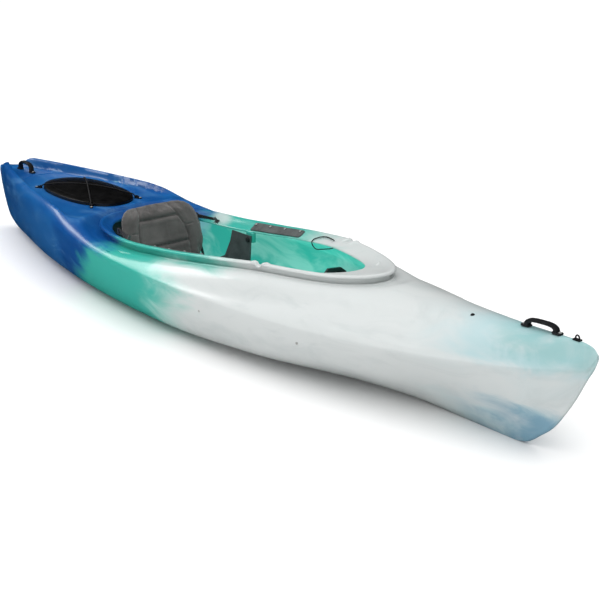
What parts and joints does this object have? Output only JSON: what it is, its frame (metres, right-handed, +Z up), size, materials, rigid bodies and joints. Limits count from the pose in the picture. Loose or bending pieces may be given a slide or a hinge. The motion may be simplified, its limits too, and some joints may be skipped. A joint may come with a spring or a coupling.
{
  "type": "recreational kayak",
  "caption": "Sit-inside recreational kayak with a raised cockpit coaming, padded folding backrest, sliding foot pedals, and a domed stern hatch cover under crossed shock cords.",
  "frame": {"origin": "under the middle of the hull, at the level that the keel rests on", "axes": "+X towards the bow, +Y to port, +Z up"},
  "size_m": [3.66, 0.7234, 0.4126],
  "materials": {
    "polyethylene": "rotomoulded, marbled from deep blue at the stern over teal to white",
    "hatch_black": "fine grain",
    "black_plastic": "satin",
    "shock_cord": "braided sheath",
    "closed_cell_foam": "cut foam",
    "seat_plastic": "fine grain",
    "cushion_fabric": "woven cover over foam",
    "webbing": "woven strap",
    "rail_plastic": "satin",
    "stainless_steel": "plain",
    "buckle_metal": "plain"
  },
  "bodies": {
    "hull": {"hull": "polyethylene", "hatch_gasket": "closed_cell_foam", "seat_pan": "seat_plastic", "seat_cushion": "cushion_fabric", "paddle_keeper": "shock_cord", "bow_handle": "black_plastic", "stern_handle": "black_plastic", "bow_eyelet": "black_plastic", "deck_fitting": "black_plastic", "drain_plug": "black_plastic", "foam_bulkhead": "closed_cell_foam", "foam_pillar": "closed_cell_foam", "cord_cleat_1": "black_plastic", "cleat_screw_1": "stainless_steel", "cord_cleat_2": "black_plastic", "cleat_screw_2": "stainless_steel", "cord_cleat_3": "black_plastic", "cleat_screw_3": "stainless_steel", "cord_cleat_4": "black_plastic", "cleat_screw_4": "stainless_steel", "seat_bolt_port": "black_plastic", "hinge_pin_port": "stainless_steel", "recline_strap_port": "webbing", "strap_anchor_port": "buckle_metal", "thigh_pad_port": "black_plastic", "foot_rail_port": "rail_plastic", "thigh_pad_screw_port_1": "stainless_steel", "thigh_pad_screw_port_2": "stainless_steel", "thigh_pad_screw_port_3": "stainless_steel", "thigh_pad_screw_port_4": "stainless_steel", "rail_screw_port_1": "stainless_steel", "rail_screw_port_2": "stainless_steel", "seat_bolt_starboard": "black_plastic", "hinge_pin_starboard": "stainless_steel", "recline_strap_starboard": "webbing", "strap_anchor_starboard": "buckle_metal", "thigh_pad_starboard": "black_plastic", "foot_rail_starboard": "rail_plastic", "thigh_pad_screw_starboard_1": "stainless_steel", "thigh_pad_screw_starboard_2": "stainless_steel", "thigh_pad_screw_starboard_3": "stainless_steel", "thigh_pad_screw_starboard_4": "stainless_steel", "rail_screw_starboard_1": "stainless_steel", "rail_screw_starboard_2": "stainless_steel", "bow_handle_screw_1": "stainless_steel", "bow_handle_screw_2": "stainless_steel", "stern_handle_screw_1": "stainless_steel", "stern_handle_screw_2": "stainless_steel"},
    "backrest": {"backrest_frame": "black_plastic", "backrest_pad": "cushion_fabric", "recline_buckle_port": "buckle_metal", "recline_buckle_starboard": "buckle_metal"},
    "hatch": {"hatch_cover": "hatch_black", "hatch_cord_1": "shock_cord", "hatch_cord_2": "shock_cord"},
    "pedal_port": {"foot_pedal_port": "black_plastic"},
    "pedal_starboard": {"foot_pedal_starboard": "black_plastic"},
    "lever_port": {"pedal_lever_port": "black_plastic"},
    "lever_starboard": {"pedal_lever_starboard": "black_plastic"}
  },
  "joints": [
    {"name": "backrest_recline", "type": "hinge", "parent": "hull", "child": "backrest", "pos_m": [-0.395, 0, 0.088], "axis": [0, 1, 0], "range_deg": [0, 60], "deforming": ["recline_strap_port", "recline_strap_starboard"]},
    {"name": "hatch_lift", "type": "slide", "parent": "hull", "child": "hatch", "axis": [0, 0, 1], "range_m": [0, 0.12]},
    {"name": "pedal_slide_port", "type": "slide", "parent": "hull", "child": "pedal_port", "axis": [0.9923, -0.1242, 0], "range_m": [-0.04, 0.36]},
    {"name": "pedal_slide_starboard", "type": "slide", "parent": "hull", "child": "pedal_starboard", "axis": [0.9923, 0.1242, 0], "range_m": [-0.04, 0.36]},
    {"name": "lever_turn_port", "type": "hinge", "parent": "pedal_port", "child": "lever_port", "pos_m": [0.41786, 0.30491, 0.1552], "axis": [-0.1242, -0.9923, 0], "range_deg": [0, 12], "stiffness_Nm_per_rad": 0.05, "springref_deg": -11.46},
    {"name": "lever_turn_starboard", "type": "hinge", "parent": "pedal_starboard", "child": "lever_starboard", "pos_m": [0.41786, -0.30491, 0.1552], "axis": [0.1242, -0.9923, 0], "range_deg": [0, 12], "stiffness_Nm_per_rad": 0.05, "springref_deg": -11.46}
  ]
}
